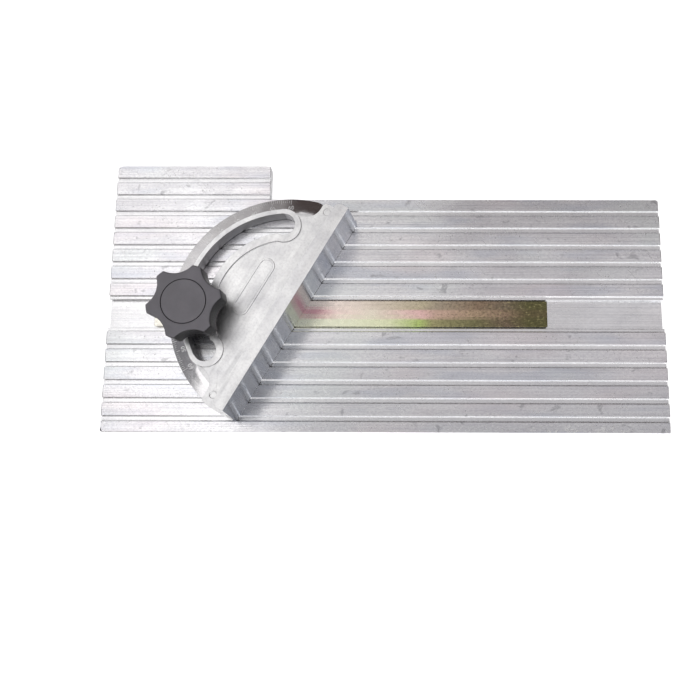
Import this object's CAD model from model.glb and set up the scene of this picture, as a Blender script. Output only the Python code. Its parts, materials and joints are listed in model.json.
"""Looks of a tile cutter's mitre table: a grooved aluminium table, a cast protractor
head with a tall fence, a sliding steel bar and a star knob on a threaded stud.

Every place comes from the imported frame, in metres. The head has axes of its own: u runs
along the fence, v to the fence's back, and their origin is the swivel's pivot.
"""

import json
import math

import bmesh
import bpy
from mathutils import Matrix, Vector


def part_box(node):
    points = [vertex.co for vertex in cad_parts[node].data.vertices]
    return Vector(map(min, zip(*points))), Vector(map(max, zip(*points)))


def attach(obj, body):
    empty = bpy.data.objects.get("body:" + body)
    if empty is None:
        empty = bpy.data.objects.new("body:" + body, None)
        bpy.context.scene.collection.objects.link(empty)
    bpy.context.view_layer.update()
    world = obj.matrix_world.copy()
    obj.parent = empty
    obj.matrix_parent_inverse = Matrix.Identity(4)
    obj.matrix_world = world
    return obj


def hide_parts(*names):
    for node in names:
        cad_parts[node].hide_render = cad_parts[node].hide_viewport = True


MM = 0.001
WHITE = (1.0, 1.0, 1.0)
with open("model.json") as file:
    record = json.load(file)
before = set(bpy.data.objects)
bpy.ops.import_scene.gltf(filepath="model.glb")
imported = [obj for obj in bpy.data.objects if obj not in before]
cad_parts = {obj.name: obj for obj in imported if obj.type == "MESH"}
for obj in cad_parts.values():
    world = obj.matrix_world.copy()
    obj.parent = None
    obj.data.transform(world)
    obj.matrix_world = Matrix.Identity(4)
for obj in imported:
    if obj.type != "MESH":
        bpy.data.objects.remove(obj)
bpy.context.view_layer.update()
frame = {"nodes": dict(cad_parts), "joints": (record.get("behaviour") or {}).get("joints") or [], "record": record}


# ---------------------------------------------------------------- places


def joint(name):
    """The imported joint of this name."""
    return next(j for j in frame["joints"] if j["name"] == name)


def mount(name):
    """The record's mount of this name."""
    return next(m for m in frame["record"]["mounts"] if m["name"] == name)


UP = Vector((0, 0, 1))
PIVOT = Vector(joint("head_swivel")["pos_m"])
KNOB_AXIS = Vector(joint("knob_turn")["pos_m"])
HEAD_V = -Vector(mount("fence_face")["axis"]).normalized()
HEAD_U = HEAD_V.cross(UP)
HEAD_TURN = math.atan2(HEAD_U.y, HEAD_U.x)
TABLE_LOW, TABLE_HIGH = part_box("table_plate")
BAR_LOW, BAR_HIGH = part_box("guide_bar")
HEAD_LOW, HEAD_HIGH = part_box("protractor_head")
STAR_LOW, STAR_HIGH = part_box("clamp_knob")
CAP_LOW, CAP_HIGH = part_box("knob_cap")
STUD_LOW, STUD_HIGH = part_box("clamp_stud")

# The scale ledge of the head: a cone round the pivot that falls away to its edge
LEDGE_SLOPE = math.radians(8)
LEDGE_INNER = 74 * MM
LEDGE_OUTER = 85 * MM
LEDGE_TOP = HEAD_LOW.z + 4 * MM

# The arc slot's walls lie between these radii, and further back than this.
SLOT_INNER = 54 * MM
SLOT_OUTER = 72 * MM
SLOT_FRONT = 20 * MM

# The fence's front face lies further forward than this from the pivot.
FENCE_FRONT = 8 * MM

# The scale runs to this many degrees on both sides of its middle.
SCALE_END = 60


def ledge_height(radius):
    """Height of the scale ledge at this distance from the pivot."""
    return LEDGE_TOP - (radius - LEDGE_INNER) * math.tan(LEDGE_SLOPE)


def ledge_direction(degree):
    """The way from the pivot to a degree of the scale, whose 0 is square to the fence."""
    turn = math.radians(degree)
    return HEAD_V * math.cos(turn) - HEAD_U * math.sin(turn)


# ---------------------------------------------------------------- materials


class Look:
    """A metal or plastic material, built from nodes in the piece's own coordinates."""

    def __init__(self, name, metallic=0.0):
        self.material = bpy.data.materials.new(name)
        self.material.use_nodes = True
        self.tree = self.material.node_tree
        self.shader = next(n for n in self.tree.nodes if n.type == "BSDF_PRINCIPLED")
        self.shader.inputs["Metallic"].default_value = metallic

    @classmethod
    def over(cls, tree):
        """The same node tools over a tree that isn't a material's."""
        look = cls.__new__(cls)
        look.tree = tree
        return look

    def node(self, kind, **settings):
        """A new node with these settings."""
        made = self.tree.nodes.new(kind)
        for name, value in settings.items():
            setattr(made, name, value)
        return made

    def plug(self, socket, value):
        """Links a socket into another, or sets it to a constant."""
        if isinstance(value, bpy.types.NodeSocket):
            self.tree.links.new(value, socket)
        else:
            socket.default_value = value

    def set(self, name, value):
        """Gives the shader an input."""
        self.plug(self.shader.inputs[name], value)

    def coords(self, stretch=(1, 1, 1), turn=0.0, origin=(0, 0, 0)):
        """Object coordinates from origin, turned about Z and then scaled."""
        source = self.node("ShaderNodeTexCoord").outputs["Object"]
        moved = self.node("ShaderNodeVectorMath", operation="SUBTRACT")
        self.plug(moved.inputs[0], source)
        moved.inputs[1].default_value = origin
        turned = self.node("ShaderNodeVectorRotate", rotation_type="Z_AXIS")
        self.plug(turned.inputs["Vector"], moved.outputs[0])
        turned.inputs["Angle"].default_value = -turn
        scaled = self.node("ShaderNodeVectorMath", operation="MULTIPLY")
        self.plug(scaled.inputs[0], turned.outputs[0])
        scaled.inputs[1].default_value = stretch
        return scaled.outputs[0]

    def noise(self, vector, scale=1.0, detail=3.0, rough=0.5, twist=0.0):
        """Soft noise with this many waves in a metre, or as many as the vector's stretch says."""
        made = self.node("ShaderNodeTexNoise")
        self.plug(made.inputs["Vector"], vector)
        made.inputs["Scale"].default_value = scale
        made.inputs["Detail"].default_value = detail
        made.inputs["Roughness"].default_value = rough
        made.inputs["Distortion"].default_value = twist
        return made.outputs["Fac"]

    def cells(self, vector, scale):
        """Distance to the nearest of a scatter of points."""
        made = self.node("ShaderNodeTexVoronoi")
        self.plug(made.inputs["Vector"], vector)
        made.inputs["Scale"].default_value = scale
        return made.outputs["Distance"]

    def levels(self, value, low, high, to_low=0.0, to_high=1.0):
        """The value, spread from the range low to high over another one, and held inside it."""
        made = self.node("ShaderNodeMapRange")
        self.plug(made.inputs["Value"], value)
        made.inputs["From Min"].default_value = low
        made.inputs["From Max"].default_value = high
        made.inputs["To Min"].default_value = to_low
        made.inputs["To Max"].default_value = to_high
        return made.outputs["Result"]

    def math(self, operation, a, b=0.0):
        """The result of one sum."""
        made = self.node("ShaderNodeMath", operation=operation)
        self.plug(made.inputs[0], a)
        self.plug(made.inputs[1], b)
        return made.outputs[0]

    def ramp(self, value, stops):
        """Colours at places along 0 to 1."""
        made = self.node("ShaderNodeValToRGB")
        self.plug(made.inputs["Fac"], value)
        elements = made.color_ramp.elements
        while len(elements) < len(stops):
            elements.new(0.5)
        for element, (place, colour) in zip(elements, stops):
            element.position = place
            element.color = (*colour, 1)
        return made.outputs["Color"]

    def split(self, vector):
        """The X, Y and Z of a vector, by name."""
        made = self.node("ShaderNodeSeparateXYZ")
        self.plug(made.inputs[0], vector)
        return made.outputs

    def mix(self, factor, a, b):
        """Colour a, or b where factor is 1."""
        made = self.node("ShaderNodeMix", data_type="RGBA")
        colours = [s for s in made.inputs if s.type == "RGBA"]
        self.plug(made.inputs["Factor"], factor)
        for socket, colour in zip(colours, (a, b)):
            self.plug(socket, (*colour, 1) if isinstance(colour, tuple) else colour)
        return next(s for s in made.outputs if s.type == "RGBA")

    def stain(self, base, value, low, high, most, colour):
        """base, tinted by at most this share where the value goes from low to high."""
        return self.mix(self.levels(value, low, high, 0.0, most), base, colour)

    def scratches(self, turn, length, gap, share):
        """Thin straight lines at an angle: 1 on a line, 0 beside it."""
        lines = self.noise(self.coords((1 / length, 1 / gap, 1 / gap), turn), 1.0, 1.0)
        return self.levels(lines, 0.5 + share, 0.5 + share + 0.03)

    def corner_grime(self, reach):
        """1 in inside corners, where dirt gathers within this distance, and 0 in the open."""
        made = self.node("ShaderNodeAmbientOcclusion", samples=8, only_local=True)
        made.inputs["Distance"].default_value = reach
        return self.levels(made.outputs["AO"], 0.75, 0.35)

    def bump(self, height, depth, under=None):
        """Adds relief of this depth, in metres, over an earlier bump."""
        made = self.node("ShaderNodeBump")
        made.inputs["Strength"].default_value = 1.0
        made.inputs["Distance"].default_value = depth
        self.plug(made.inputs["Height"], height)
        if under is not None:
            self.plug(made.inputs["Normal"], under)
        self.set("Normal", made.outputs["Normal"])
        return made.outputs["Normal"]


def front_scuffs(look):
    """1 in white scuffs along the right half of the table's front edge, 0 elsewhere."""
    corner = (TABLE_HIGH.x, TABLE_LOW.y, TABLE_HIGH.z)
    parts = look.split(look.coords(origin=corner))
    start = look.levels(parts["X"], -120 * MM, -85 * MM)
    end = look.levels(parts["X"], -18 * MM, -36 * MM)
    near_edge = look.levels(parts["Y"], 7.0 * MM, 5.5 * MM)
    flakes = look.noise(look.coords((1, 1.3, 1)), 210.0, 4.0, 0.75)
    place = look.math("MULTIPLY", look.math("MULTIPLY", start, end), near_edge)
    return look.math("MULTIPLY", look.levels(flakes, 0.54, 0.58), place)


def extruded_alloy(name, worn, pale, dull):
    """Mill-finish aluminium with drawing lines along X, between a pale and a dull tone. worn
    is 1 for the table's lands, which are rubbed, smudged and scratched, and less for faces out
    of reach."""
    look = Look(name, metallic=1.0)
    lines = look.noise(look.coords((9, 1300, 1300)), 1.0, 2.0, 0.5)
    bands = look.noise(look.coords((1.5, 190, 190)), 1.0, 1.0)
    grain = look.noise(look.coords((520, 760, 760)), 1.0, 4.0, 0.65)
    clouds = look.noise(look.coords((1, 2.2, 2.2)), 24.0, 3.0, 0.6, 0.4)
    waves = look.noise(look.coords((14, 34, 34)), 1.0, 1.0)
    patches = look.noise(look.coords((16, 95, 95)), 1.0, 2.0, 0.5)
    smudges = look.noise(look.coords((80, 120, 120)), 1.0, 3.0, 0.6, 0.5)
    nicks = look.scratches(0.35, 0.012, 0.0005, 0.19)
    rubs = look.scratches(-0.9, 0.018, 0.0006, 0.21)
    marks = look.math("MULTIPLY", look.math("MAXIMUM", nicks, rubs), worn)
    tone = look.math("ADD", look.math("MULTIPLY", grain, 0.7), look.math("MULTIPLY", lines, 0.3))
    base = look.mix(look.levels(tone, 0.42, 0.60), pale, dull)
    base = look.stain(base, bands, 0.42, 0.62, 0.22 * worn, (0.66, 0.66, 0.70))
    base = look.stain(base, clouds, 0.48, 0.68, 0.35 * worn, (0.72, 0.70, 0.74))
    base = look.stain(base, patches, 0.52, 0.66, 0.40 * worn, (0.62, 0.66, 0.76))
    base = look.stain(base, waves, 0.55, 0.70, 0.22 * worn, (1.0, 0.86, 0.87))
    base = look.stain(base, waves, 0.45, 0.32, 0.22 * worn, (0.80, 0.90, 0.86))
    base = look.stain(base, smudges, 0.62, 0.70, 0.55 * worn, (0.38, 0.38, 0.40))
    specks = look.levels(look.cells(look.coords((1, 1.6, 1)), 300.0), 0.16, 0.09, 0.0, 0.75 * worn)
    dirty = look.levels(clouds, 0.50, 0.60)
    base = look.mix(look.math("MULTIPLY", specks, dirty), base, (0.25, 0.25, 0.26))
    chips = look.levels(look.cells(look.coords((1.3, 1, 1)), 300.0), 0.24, 0.16, 0.0, worn)
    chips = look.math("MULTIPLY", chips, look.levels(smudges, 0.46, 0.38))
    base = look.mix(look.math("MULTIPLY", chips, 0.75), base, WHITE)
    scuffs = look.math("MULTIPLY", front_scuffs(look), worn)
    base = look.mix(scuffs, base, WHITE)
    base = look.mix(look.corner_grime(0.8 * MM), base, (0.16, 0.16, 0.17))
    look.set("Base Color", look.mix(look.math("MULTIPLY", marks, 0.5), base, WHITE))
    rough = look.levels(look.math("ADD", lines, clouds), 0.7, 1.3, 0.20, 0.30)
    rough = look.math("ADD", rough, look.math("MULTIPLY", chips, 0.25))
    look.set("Roughness", look.math("ADD", rough, look.math("MULTIPLY", marks, 0.12)))
    look.set("Anisotropic", 0.7)
    across = look.node("ShaderNodeCombineXYZ")
    across.inputs["Y"].default_value = 1.0
    look.set("Tangent", across.outputs[0])
    relief = look.bump(lines, 0.0012 * MM)
    relief = look.bump(waves, 0.30 * MM * worn, relief)
    relief = look.bump(scuffs, 0.03 * MM, relief)
    relief = look.bump(look.math("SUBTRACT", 0.0, marks), 0.010 * MM, relief)
    pits = look.levels(look.cells(look.coords(), 260.0), 0.05, 0.16)
    look.bump(pits, 0.015 * MM * worn, relief)
    return look.material


def sawn_alloy():
    """Saw-cut and handled ends of the table: duller than its faces."""
    look = Look("sawn_alloy", metallic=1.0)
    strokes = look.noise(look.coords((700, 700, 60)), 1.0, 2.0)
    grime = look.noise(look.coords(), 220.0, 4.0)
    look.set("Base Color", look.ramp(grime, [(0.3, (0.42, 0.42, 0.43)), (0.7, (0.66, 0.66, 0.67))]))
    look.set("Roughness", look.levels(strokes, 0.3, 0.7, 0.38, 0.55))
    look.bump(strokes, 0.03 * MM)
    return look.material


def cast_alloy(name, shade):
    """Die-cast aluminium, tumbled to a satin: soft ripples, fine grain, faint flow lines.
    shade darkens faces that the tumbling doesn't reach."""
    look = Look(name, metallic=1.0)
    grain = look.noise(look.coords(), 1500.0, 2.0)
    ripples = look.noise(look.coords(), 170.0, 3.0, 0.55)
    flow = look.noise(look.coords((25, 500, 500), HEAD_TURN), 1.0, 3.0)
    clouds = look.noise(look.coords(), 60.0, 4.0, 0.6)
    mottle = look.noise(look.coords(), 650.0, 5.0, 0.7)
    base = look.mix(look.levels(clouds, 0.4, 0.75), (0.94, 0.94, 0.94), (0.82, 0.82, 0.84))
    base = look.stain(base, mottle, 0.45, 0.65, 0.45, (0.66, 0.66, 0.67))
    base = look.stain(base, flow, 0.5, 0.8, 0.25, (0.7, 0.7, 0.71))
    base = look.mix(look.corner_grime(1.6 * MM), base, (0.42, 0.42, 0.43))
    look.set("Base Color", look.mix(shade, base, (0.20, 0.20, 0.21)))
    look.set("Roughness", look.levels(look.math("ADD", flow, clouds), 0.7, 1.3, 0.28, 0.42))
    relief = look.bump(grain, 0.012 * MM)
    relief = look.bump(ripples, 0.10 * MM, relief)
    look.bump(flow, 0.012 * MM, relief)
    return look.material


def milled_alloy():
    """Milled and turned faces of the casting: bright, with fine cutter lines."""
    look = Look("milled_alloy", metallic=1.0)
    across = look.noise(look.coords((900, 900, 14), HEAD_TURN), 1.0, 2.0)
    clouds = look.noise(look.coords(), 90.0, 4.0)
    look.set("Base Color", look.mix(look.levels(clouds, 0.4, 0.7), (0.60, 0.63, 0.67), (0.49, 0.53, 0.59)))
    look.set("Roughness", look.levels(look.math("ADD", across, clouds), 0.7, 1.3, 0.10, 0.20))
    relief = look.bump(across, 0.0035 * MM)
    look.bump(clouds, 0.05 * MM, relief)
    return look.material


def turned_alloy():
    """The scale ledge: turned round the pivot, so its lines are arcs."""
    look = Look("turned_alloy", metallic=1.0)
    centred = look.coords((1, 1, 0), 0.0, tuple(PIVOT))
    radius = look.node("ShaderNodeVectorMath", operation="LENGTH")
    look.plug(radius.inputs[0], centred)
    lines = look.node("ShaderNodeTexNoise", noise_dimensions="1D")
    look.plug(lines.inputs["W"], radius.outputs["Value"])
    lines.inputs["Scale"].default_value = 4000.0
    clouds = look.noise(look.coords(), 120.0, 4.0)
    look.set("Base Color", look.mix(look.levels(clouds, 0.4, 0.7), (0.86, 0.85, 0.86), (0.74, 0.73, 0.75)))
    look.set("Roughness", look.levels(clouds, 0.3, 0.7, 0.08, 0.15))
    relief = look.bump(lines.outputs["Fac"], 0.003 * MM)
    look.bump(clouds, 0.04 * MM, relief)
    return look.material


def passivated_steel():
    """Zinc-plated steel under a yellow passivation, whose film shifts in hue along it."""
    look = Look("passivated_steel", metallic=1.0)
    left_end = (BAR_LOW.x, (BAR_LOW.y + BAR_HIGH.y) / 2, BAR_HIGH.z)
    parts = look.split(look.coords(origin=left_end))
    along = look.math("DIVIDE", parts["X"], BAR_HIGH.x - BAR_LOW.x)
    wander = look.noise(look.coords((9, 60, 60)), 1.0, 3.0)
    place = look.math("ADD", along, look.math("MULTIPLY", look.math("SUBTRACT", wander, 0.5), 0.16))
    back = look.ramp(
        place,
        [
            (0.0, (1.0, 0.97, 0.86)),
            (0.45, (1.0, 0.87, 0.79)),
            (0.69, (0.65, 0.57, 0.40)),
            (0.73, (0.51, 0.43, 0.33)),
            (0.83, (0.36, 0.255, 0.18)),
            (0.91, (0.28, 0.22, 0.16)),
            (0.97, (0.16, 0.15, 0.07)),
        ],
    )
    middle = look.ramp(
        place,
        [
            (0.0, (1.0, 0.95, 0.84)),
            (0.41, (0.82, 0.46, 0.50)),
            (0.46, (1.0, 0.80, 0.74)),
            (0.55, (0.95, 0.87, 0.72)),
            (0.69, (1.0, 0.66, 0.63)),
            (0.73, (0.76, 0.53, 0.43)),
            (0.83, (0.55, 0.40, 0.275)),
            (0.91, (0.385, 0.27, 0.19)),
            (0.97, (0.18, 0.15, 0.08)),
        ],
    )
    front = look.ramp(
        place,
        [
            (0.0, (1.0, 0.97, 0.88)),
            (0.45, (0.94, 0.955, 0.74)),
            (0.60, (0.93, 0.96, 0.65)),
            (0.69, (0.58, 0.73, 0.25)),
            (0.73, (0.45, 0.42, 0.22)),
            (0.83, (0.25, 0.235, 0.12)),
            (0.91, (0.23, 0.17, 0.12)),
            (0.97, (0.16, 0.15, 0.07)),
        ],
    )
    streaks = look.noise(look.coords((7, 330, 330)), 1.0, 4.0, 0.6)
    across = look.math("DIVIDE", parts["Y"], BAR_HIGH.y - BAR_LOW.y)
    across = look.math("ADD", across, look.math("MULTIPLY", look.math("SUBTRACT", streaks, 0.5), 0.7))
    film = look.mix(look.levels(across, -0.24, -0.10), front, middle)
    film = look.mix(look.levels(across, 0.10, 0.26), film, back)
    crystals = look.noise(look.coords((1, 1.4, 1)), 480.0, 5.0, 0.75)
    spots = look.levels(crystals, 0.50, 0.60, 0.0, 0.75)
    film = look.mix(look.math("MULTIPLY", spots, look.levels(place, 0.5, 0.92)), film, (0.10, 0.09, 0.05))
    flecks = look.levels(crystals, 0.43, 0.36, 0.0, 0.8)
    film = look.mix(look.math("MULTIPLY", flecks, look.levels(place, 0.6, 0.92)), film, (0.58, 0.52, 0.26))
    look.set("Base Color", film)
    mottle = look.noise(look.coords(), 420.0, 4.0)
    look.set("Roughness", look.levels(mottle, 0.3, 0.7, 0.22, 0.36))
    relief = look.bump(mottle, 0.02 * MM)
    look.bump(look.noise(look.coords((6, 1400, 1400)), 1.0, 2.0), 0.006 * MM, relief)
    return look.material


def plated_steel():
    """Bright zinc plating on turned and pressed steel."""
    look = Look("plated_steel", metallic=1.0)
    bloom = look.noise(look.coords(), 500.0, 4.0)
    look.set("Base Color", look.ramp(bloom, [(0.3, (0.58, 0.58, 0.60)), (0.7, (0.74, 0.74, 0.75))]))
    look.set("Roughness", look.levels(bloom, 0.3, 0.7, 0.22, 0.38))
    look.bump(bloom, 0.02 * MM)
    return look.material


def blackened_steel():
    """Black oxide on small screws, rubbed brown in places."""
    look = Look("blackened_steel", metallic=1.0)
    wear = look.noise(look.coords(), 700.0, 4.0)
    look.set("Base Color", look.ramp(wear, [(0.35, (0.05, 0.05, 0.055)), (0.75, (0.20, 0.17, 0.14))]))
    look.set("Roughness", look.levels(wear, 0.3, 0.7, 0.32, 0.5))
    look.bump(wear, 0.015 * MM)
    return look.material


def turned_brass():
    """Brass of the knob's insert, with the lathe's fine rings."""
    look = Look("turned_brass", metallic=1.0)
    lines = look.noise(look.coords((60, 60, 3000)), 1.0, 2.0)
    look.set("Base Color", look.ramp(lines, [(0.3, (0.62, 0.44, 0.17)), (0.7, (0.78, 0.60, 0.28))]))
    look.set("Roughness", look.levels(lines, 0.3, 0.7, 0.24, 0.36))
    look.bump(lines, 0.01 * MM)
    return look.material


def moulded_nylon():
    """Pale nylon of the thrust washer."""
    look = Look("moulded_nylon")
    haze = look.noise(look.coords(), 600.0, 3.0)
    look.set("Base Color", look.ramp(haze, [(0.3, (0.74, 0.72, 0.64)), (0.7, (0.84, 0.82, 0.76))]))
    look.set("Roughness", look.levels(haze, 0.3, 0.7, 0.42, 0.56))
    look.bump(haze, 0.02 * MM)
    return look.material


def black_plastic(name, tone):
    """Moulded black plastic: fine spark-eroded texture, dusty and a little worn on the
    faces that point up, and darker and smoother on the walls."""
    look = Look(name)
    pebble = look.noise(look.coords(), 2600.0, 2.0, 0.6)
    handling = look.noise(look.coords(), 55.0, 4.0, 0.6)
    dust = look.levels(look.noise(look.coords(), 900.0, 5.0, 0.7), 0.58, 0.72, 0.0, 0.35)
    worn = tuple(channel * 1.25 for channel in tone)
    top = look.mix(look.levels(handling, 0.35, 0.7), tone, worn)
    top = look.mix(dust, top, (0.26, 0.255, 0.26))
    parts = look.split(look.node("ShaderNodeNewGeometry").outputs["Normal"])
    level = look.levels(parts["Z"], 0.35, 0.95)
    look.set("Base Color", look.mix(level, (0.012, 0.012, 0.013), top))
    look.set("Specular IOR Level", look.levels(level, 0.0, 1.0, 0.22, 0.5))
    grain = look.levels(look.math("ADD", handling, pebble), 0.7, 1.3, -0.08, 0.08)
    look.set("Roughness", look.math("ADD", grain, look.levels(level, 0.0, 1.0, 0.32, 0.54)))
    relief = look.bump(pebble, 0.03 * MM)
    look.bump(handling, 0.06 * MM, relief)
    return look.material


# ---------------------------------------------------------------- pieces


def add_piece(name, mesh, materials, body, slot, *nodes):
    """Links a finished mesh as a piece that rides on a body and stands for CAD nodes."""
    piece = bpy.data.objects.new(name, mesh)
    bpy.context.scene.collection.objects.link(piece)
    for material in materials:
        mesh.materials.append(material)
    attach(piece, body)
    if nodes:
        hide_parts(*nodes)
    return piece


# An edge between faces that turn by more than this is rounded.
SHARP = math.radians(24)


def cad_copy(node, choose=None):
    """A copy of a CAD node's mesh, with its sharp edges marked for rounding. choose(face)
    gives a face its material's number."""
    mesh = bpy.data.meshes.new(node + "_look")
    bm = bmesh.new()
    bm.from_mesh(frame["nodes"][node].data)
    bmesh.ops.remove_doubles(bm, verts=bm.verts, dist=0.002 * MM)
    weight = bm.edges.layers.float.new("bevel_weight_edge")
    for face in bm.faces:
        face.smooth = True
        if choose:
            face.material_index = choose(face)
    for edge in bm.edges:
        if len(edge.link_faces) == 2 and edge.calc_face_angle() > SHARP:
            edge[weight] = 1.0
    bm.to_mesh(mesh)
    bm.free()
    # Attributes that the CAD mesh brought along would override the smooth shading.
    for name in ("custom_normal", "sharp_edge", "sharp_face"):
        if name in mesh.attributes:
            mesh.attributes.remove(mesh.attributes[name])
    return mesh


def round_edges(piece, width):
    """Rounds the marked edges and keeps the flat faces flat in shading."""
    bevel = piece.modifiers.new("rounded_edges", "BEVEL")
    bevel.limit_method = "WEIGHT"
    bevel.width = width
    bevel.segments = 2
    bevel.use_clamp_overlap = False
    bevel.harden_normals = True
    flat = piece.modifiers.new("flat_faces", "WEIGHTED_NORMAL")
    flat.keep_sharp = True
    return piece


def rounded_copy(node, width, materials, body, slot, choose=None):
    """A piece copied from a CAD node, with its edges rounded by this width."""
    mesh = cad_copy(node, choose)
    return round_edges(add_piece(node + "_look", mesh, materials, body, slot, node), width)


def table_face_kind(face):
    """0 for the lands on top, 2 for the sawn ends and 1 for everything between."""
    if face.normal.z > 0.9 and face.calc_center_median().z > TABLE_HIGH.z - 0.1 * MM:
        return 0
    return 2 if abs(face.normal.x) > 0.9 else 1


def head_face_kind(face):
    """1 for the milled fence front, 2 for the turned scale ledge, 3 for the slot's walls and
    0 for the other cast faces."""
    middle = face.calc_center_median()
    if face.normal.dot(-HEAD_V) > 0.999 and (middle - PIVOT).dot(HEAD_V) < -FENCE_FRONT:
        return 1
    tilt = math.acos(max(-1.0, min(1.0, face.normal.z)))
    if abs(tilt - LEDGE_SLOPE) < math.radians(2):
        return 2
    across = middle - PIVOT
    across.z = 0
    upright = abs(face.normal.z) < 0.2
    if upright and SLOT_INNER < across.length < SLOT_OUTER and across.dot(HEAD_V) > SLOT_FRONT:
        return 3
    return 0


def ring_mesh(name, rings, count, closed):
    """A mesh of rings round the knob's axis. Each ring is (radius_of_angle, z). closed
    joins the last ring to the first; otherwise each end ring closes on the axis."""
    bm = bmesh.new()
    loops = []
    for radius_of, z in rings:
        loop = []
        for i in range(count):
            angle = 2 * math.pi * i / count
            radius = radius_of(angle)
            place = (KNOB_AXIS.x + radius * math.cos(angle), KNOB_AXIS.y + radius * math.sin(angle), z)
            loop.append(bm.verts.new(place))
        loops.append(loop)
    pairs = list(zip(loops, loops[1:]))
    if closed:
        pairs.append((loops[-1], loops[0]))
    for lower, upper in pairs:
        for i in range(count):
            j = (i + 1) % count
            bm.faces.new((lower[i], lower[j], upper[j], upper[i]))
    if not closed:
        for loop in (loops[0], loops[-1]):
            z = loop[0].co.z
            middle = bm.verts.new((KNOB_AXIS.x, KNOB_AXIS.y, z))
            for i in range(count):
                bm.faces.new((loop[i], loop[(i + 1) % count], middle))
    bmesh.ops.recalc_face_normals(bm, faces=bm.faces)
    for face in bm.faces:
        face.smooth = True
    mesh = bpy.data.meshes.new(name)
    bm.to_mesh(mesh)
    bm.free()
    return mesh


def circle(radius):
    """An outline with the same radius all round."""
    return lambda angle: radius


def smooth_min(a, b, blend):
    """The smaller of two values, with a soft change-over of this width."""
    h = max(blend - abs(a - b), 0.0) / blend
    return min(a, b) - h * h * blend / 4


# The knob's outline: a disc of KNOB_R with hollows of KNOB_HOLLOW_R centred at KNOB_HOLLOW_AT
KNOB_LOBES = 6
KNOB_R = 25.4 * MM
KNOB_HOLLOW_R = 16.5 * MM
KNOB_HOLLOW_AT = 36.6 * MM
KNOB_FIRST_LOBE = math.radians(12)
KNOB_LOBE_ROUND = 1.0 * MM
STAR_THICKNESS = 16.5 * MM
THREAD_PITCH = 1.25 * MM
THREAD_DEPTH = 0.65 * MM


def star(inset):
    """The knob's outline, this far inside its full size: a disc with a round hollow
    between each two lobes, and rounded lobe corners."""
    pitch = 2 * math.pi / KNOB_LOBES
    hollow = KNOB_HOLLOW_R + inset

    def radius_of(angle):
        turn = (angle - KNOB_FIRST_LOBE) % pitch - pitch / 2
        reach = KNOB_HOLLOW_AT * math.sin(abs(turn))
        disc = KNOB_R - inset
        if reach >= hollow * 0.999:
            return disc
        wall = KNOB_HOLLOW_AT * math.cos(turn) - math.sqrt(hollow**2 - reach**2)
        return smooth_min(disc, wall, KNOB_LOBE_ROUND)

    return radius_of


def rounding(outline, radius, z, up, steps=5):
    """Rings round an outer edge whose face is at z. They run upward for up=1, onto the
    top face, and downward for up=-1, onto the bottom face."""
    rings = []
    for i in range(steps + 1):
        t = math.pi / 2 * i / steps
        rings.append((outline(radius * (1 - math.cos(t))), z - up * radius * (1 - math.sin(t))))
    return rings


def star_knob():
    """One moulding: a hub under a six-lobed star with a recess for the cap."""
    bottom, top = STAR_LOW.z, STAR_HIGH.z
    star_bottom = top - STAR_THICKNESS
    hub = 11 * MM
    bore = 6.55 * MM
    well = 5.05 * MM
    well_z = 38.5 * MM
    recess = (CAP_HIGH.x - CAP_LOW.x) / 2 + 0.3 * MM
    recess_z = CAP_HIGH.z - 2.05 * MM
    lip = 0.35 * MM
    rings = [
        (circle(well), recess_z),
        (circle(well), well_z),
        (circle(bore), well_z),
        (circle(bore), bottom),
        (circle(hub - 0.5 * MM), bottom),
        (circle(hub), bottom + 0.5 * MM),
        (circle(hub), star_bottom - 1.2 * MM),
        (circle(hub + 0.35 * MM), star_bottom - 0.35 * MM),
        (circle(hub + 1.2 * MM), star_bottom),
    ]
    rings += reversed(rounding(star, 1.0 * MM, star_bottom, -1))
    rings += rounding(star, 1.3 * MM, top, 1, 6)
    rings += [
        (star(2.2 * MM), top),
        (circle(recess + lip + 1.5 * MM), top),
        (circle(recess + lip), top),
        (circle(recess + 0.1 * MM), top - 0.1 * MM),
        (circle(recess), top - lip),
        (circle(recess), recess_z),
    ]
    return ring_mesh("clamp_knob_look", rings, 540, True)


def knob_cap():
    """The pressed-in cap: a flat disc with a rounded rim, a hair below the star's top."""
    disc = (CAP_HIGH.x - CAP_LOW.x) / 2
    plug = 5 * MM
    top = CAP_HIGH.z
    rings = [
        (circle(plug - 0.5 * MM), CAP_LOW.z),
        (circle(plug), CAP_LOW.z + 0.5 * MM),
        (circle(plug), top - 2 * MM),
        (circle(disc), top - 2 * MM),
    ]
    rings += rounding(lambda inset: circle(disc - inset), 0.4 * MM, top, 1, 4)
    rings += [(circle(disc * share), top) for share in (0.93, 0.6, 0.25)]
    return ring_mesh("knob_cap_look", rings, 180, False)


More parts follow.
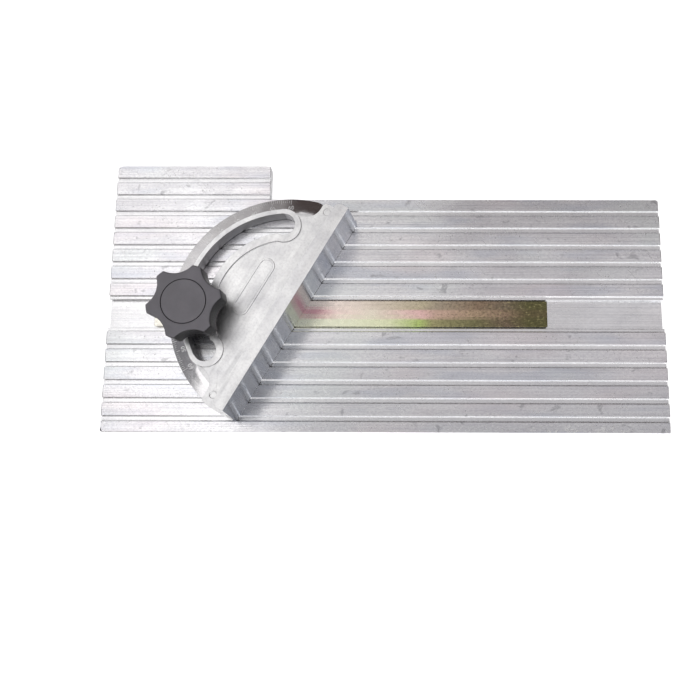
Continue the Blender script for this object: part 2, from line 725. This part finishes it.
def threaded_stud():
    """The clamp stud: its M8 thread above the bar, and its foot flange below it."""
    flange = (STUD_HIGH.x - STUD_LOW.x) / 2
    major = flange - 1.5 * MM
    pitch = THREAD_PITCH
    thread_start = BAR_HIGH.z + 0.6 * MM
    count = 64
    steps = 10
    layers = int((STUD_HIGH.z - thread_start) / pitch * steps)

    def thread(z):
        """The outline at a height: the helix turns with the angle, and fades at both ends."""
        fade = min(1.0, (z - thread_start) / pitch, (STUD_HIGH.z - z) / pitch)

        def radius_of(angle):
            phase = (z / pitch - angle / (2 * math.pi)) % 1.0
            valley = 1 - abs(2 * phase - 1)
            return major - THREAD_DEPTH * min(1.0, 1.15 * valley) * max(fade, 0.0)

        return radius_of

    rings = [
        (circle(flange - 0.2 * MM), STUD_LOW.z),
        (circle(flange), STUD_LOW.z + 0.2 * MM),
        (circle(flange), STUD_LOW.z + 1.4 * MM),
        (circle(major), STUD_LOW.z + 1.4 * MM),
        (circle(major), thread_start),
    ]
    for i in range(1, layers):
        z = thread_start + (STUD_HIGH.z - thread_start) * i / layers
        rings.append((thread(z), z))
    rings += [(circle(major - 0.5 * MM), STUD_HIGH.z - 0.3 * MM), (circle(major - 1.0 * MM), STUD_HIGH.z)]
    return ring_mesh("clamp_stud_look", rings, count, False)


# ---------------------------------------------------------------- scale marks

# The marks stand this far out of the ledge, and reach this far into it.
MARK_RAISE = 0.10 * MM
MARK_SINK = 0.15 * MM


def add_bar(bm, corners, low, high):
    """A closed bar between a lower and an upper copy of a four-cornered outline."""
    bottom = [bm.verts.new(c - UP * low) for c in corners]
    top = [bm.verts.new(c + UP * high) for c in corners]
    bm.faces.new(list(reversed(bottom)))
    bm.faces.new(top)
    for i in range(4):
        j = (i + 1) % 4
        bm.faces.new((bottom[i], bottom[j], top[j], top[i]))


def scale_marks():
    """Raised degree lines and tens figures on the ledge, counted from the middle."""
    bm = bmesh.new()
    for degree in range(-SCALE_END, SCALE_END + 1):
        direction = ledge_direction(degree)
        across = UP.cross(direction)
        length = 3.6 * MM if degree % 10 == 0 else 3.0 * MM if degree % 5 == 0 else 2.2 * MM
        outer = LEDGE_OUTER - 0.6 * MM
        half = (0.17 if degree % 5 == 0 else 0.13) * MM
        corners = []
        for radius, side in ((outer - length, -1), (outer, -1), (outer, 1), (outer - length, 1)):
            place = PIVOT + direction * radius + across * half * side
            corners.append(Vector((place.x, place.y, ledge_height(radius))))
        add_bar(bm, corners, MARK_SINK, MARK_RAISE)
    mesh = bpy.data.meshes.new("scale_marks")
    bmesh.ops.recalc_face_normals(bm, faces=bm.faces)
    bm.to_mesh(mesh)
    bm.free()
    return mesh


def figure_mesh(text, height):
    """A flat, slightly thick figure centred on its own origin."""
    curve = bpy.data.curves.new("figure", "FONT")
    curve.body = text
    curve.size = height / 0.7
    curve.align_x = "CENTER"
    curve.align_y = "CENTER"
    curve.extrude = (MARK_RAISE + MARK_SINK) / 2
    curve.offset = 0.06 * MM
    curve.resolution_u = 3
    holder = bpy.data.objects.new("figure", curve)
    bpy.context.scene.collection.objects.link(holder)
    bpy.context.view_layer.update()
    made = holder.evaluated_get(bpy.context.evaluated_depsgraph_get())
    mesh = bpy.data.meshes.new_from_object(made)
    bpy.data.objects.remove(holder)
    bpy.data.curves.remove(curve)
    return mesh


def scale_figures():
    """Tens from 60 through 0 to 60, reading outward along the ledge."""
    radius = 77.9 * MM
    bm = bmesh.new()
    for degree in range(-SCALE_END, SCALE_END + 1, 10):
        mesh = figure_mesh(str(abs(degree)), 3.0 * MM)
        turn = math.radians(degree) + HEAD_TURN
        lift = Vector((0, 0, ledge_height(radius) + (MARK_RAISE - MARK_SINK) / 2))
        place = Vector((PIVOT.x, PIVOT.y, 0)) + ledge_direction(degree) * radius + lift
        slope = Matrix.Rotation(-LEDGE_SLOPE, 4, "X")
        mesh.transform(Matrix.Translation(place) @ Matrix.Rotation(turn, 4, "Z") @ slope)
        bm.from_mesh(mesh)
        bpy.data.meshes.remove(mesh)
    whole = bpy.data.meshes.new("scale_figures")
    bmesh.ops.remove_doubles(bm, verts=bm.verts, dist=0.001 * MM)
    bm.to_mesh(whole)
    bm.free()
    return whole


# ---------------------------------------------------------------- stage


def softbox(name, centre, size, radiance, tint=WHITE):
    """A level panel of light that faces down."""
    light = bpy.data.lights.new(name, "AREA")
    light.shape = "RECTANGLE"
    light.size, light.size_y = size
    light.energy = 4 * size[0] * size[1] * radiance
    light.color = tint
    holder = bpy.data.objects.new(name, light)
    holder.location = centre
    holder.visible_camera = False
    bpy.context.scene.collection.objects.link(holder)


def grey(value):
    return (value, value, value)


def studio():
    """Soft panels overhead, brightest on the left, in a room with a dark ceiling and pale low
    walls. The room is bright at the front right and shaded at the front left and back right."""
    height = 1.2
    cool = (0.92, 0.96, 1.0)
    softbox("left_panel", (-1.20, -0.20, height), (0.80, 0.90), 0.12, (0.82, 0.91, 1.0))
    softbox("left_back_panel", (-1.20, 0.50, height), (0.80, 0.50), 0.55)
    softbox("key_panel", (-0.53, 0.40, height), (0.56, 0.70), 0.95)
    softbox("key_front_panel", (-0.57, -0.20, height), (0.46, 0.50), 0.97)
    softbox("back_panel", (-0.72, 0.94, height), (0.44, 0.36), 0.34)
    softbox("dim_back_panel", (-0.42, 0.94, height), (0.16, 0.36), 0.18)
    softbox("middle_panel", (-0.07, 0.38, height), (0.36, 0.70), 0.57)
    softbox("right_panel", (0.55, 0.29, height), (0.88, 0.54), 0.50, (0.99, 0.98, 1.0))
    softbox("front_panel", (0.325, -0.12, height), (1.33, 0.28), 0.33, cool)
    softbox("far_front_panel", (0.37, -0.66, height), (1.24, 0.80), 0.14, cool)
    world = bpy.data.worlds.new("studio")
    bpy.context.scene.world = world
    world.use_nodes = True
    room = Look.over(world.node_tree)
    parts = room.split(room.node("ShaderNodeTexCoord").outputs["Generated"])
    dark = (0.065, 0.050, 0.047)
    stops = [(0.0, grey(0.95)), (0.15, grey(0.85)), (0.42, grey(0.45)), (0.60, dark)]
    walls = room.ramp(parts["Z"], stops)
    right = room.levels(parts["X"], -0.34, -0.14)
    left = room.math("SUBTRACT", 1.0, right)
    front = room.levels(parts["Y"], -0.45, -0.80)
    low = room.levels(parts["Z"], 0.72, 0.52)
    back = room.math("MULTIPLY", room.levels(parts["Y"], 0.10, 0.50), low)
    shaded_front = room.levels(front, 0.0, 1.0, 0.0, 0.75)
    shaded_back = room.levels(back, 0.0, 1.0, 0.0, 0.85)
    walls = room.mix(room.math("MULTIPLY", left, shaded_front), walls, dark)
    walls = room.mix(room.math("MULTIPLY", left, back), walls, grey(0.75))
    walls = room.mix(room.math("MULTIPLY", right, shaded_back), walls, dark)
    walls = room.mix(room.math("MULTIPLY", right, front), walls, grey(1.5))
    room.plug(world.node_tree.nodes["Background"].inputs["Color"], walls)


def floor():
    """A wide pale floor that glows a little, like a light table."""
    look = Look("floor")
    look.set("Base Color", (0.82, 0.82, 0.82, 1))
    look.set("Roughness", 0.6)
    look.set("Specular IOR Level", 0.2)
    look.set("Emission Color", (1, 1, 1, 1))
    look.set("Emission Strength", 0.80)
    size = 4.0
    bm = bmesh.new()
    bmesh.ops.create_grid(bm, x_segments=1, y_segments=1, size=size)
    mesh = bpy.data.meshes.new("floor")
    bm.to_mesh(mesh)
    bm.free()
    mesh.materials.append(look.material)
    ground = bpy.data.objects.new("floor", mesh)
    bpy.context.scene.collection.objects.link(ground)


def camera():
    """Close above the table, a little in front of it, looking almost straight down."""
    data = bpy.data.cameras.new("camera")
    data.sensor_width = 36
    data.lens = 35.34
    data.shift_x = -0.07461
    data.shift_y = -0.00208
    data.clip_start = 0.01
    holder = bpy.data.objects.new("camera", data)
    holder.location = (0.01564, -0.11498, 0.49189)
    holder.rotation_euler = [math.radians(turn) for turn in (8.956, 0.381, 0.215)]
    bpy.context.scene.collection.objects.link(holder)
    bpy.context.scene.camera = holder
    bpy.context.scene.view_settings.view_transform = "Standard"


# ---------------------------------------------------------------- assembly

camera()
studio()
floor()

cast = cast_alloy("cast_alloy", 0.0)
plated = plated_steel()
blackened = blackened_steel()

rounded_copy(
    "table_plate",
    0.45 * MM,
    [
        extruded_alloy("land_alloy", 1.0, (0.95, 0.95, 0.96), (0.79, 0.78, 0.82)),
        extruded_alloy("groove_alloy", 0.2, (0.96, 0.96, 0.97), (0.87, 0.87, 0.89)),
        sawn_alloy(),
    ],
    "table",
    "table_alloy",
    table_face_kind,
)
rounded_copy(
    "protractor_head",
    0.2 * MM,
    [cast, milled_alloy(), turned_alloy(), cast_alloy("slot_wall_alloy", 0.55)],
    "head",
    "cast_alloy",
    head_face_kind,
)
rounded_copy("guide_bar", 0.22 * MM, [passivated_steel()], "bar", "zinc_steel")
rounded_copy("index_pointer", 0.15 * MM, [plated], "bar", "bright_steel")
rounded_copy("pointer_screw", 0.25 * MM, [blackened], "bar", "dark_steel")
rounded_copy("clamp_washer", 0.25 * MM, [plated], "clamp", "bright_steel")
rounded_copy("pivot_screw", 0.3 * MM, [blackened], "head", "dark_steel")

add_piece("clamp_stud_look", threaded_stud(), [plated], "bar", "bright_steel", "clamp_stud")
add_piece(
    "clamp_knob_look",
    star_knob(),
    [black_plastic("knob_plastic", (0.195, 0.187, 0.208))],
    "knob",
    "black_plastic",
    "clamp_knob",
)
add_piece(
    "knob_cap_look",
    knob_cap(),
    [black_plastic("cap_plastic", (0.205, 0.197, 0.218))],
    "knob",
    "cap_plastic",
    "knob_cap",
)
add_piece("scale_marks", scale_marks(), [cast], "head", "cast_alloy")
add_piece("scale_figures", scale_figures(), [cast], "head", "cast_alloy")

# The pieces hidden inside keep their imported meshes.
hidden = {"knob_insert": turned_brass(), "thrust_washer": moulded_nylon(), "pivot_wave_washer": plated}
for node, material in hidden.items():
    frame["nodes"][node].data.materials.clear()
    frame["nodes"][node].data.materials.append(material)
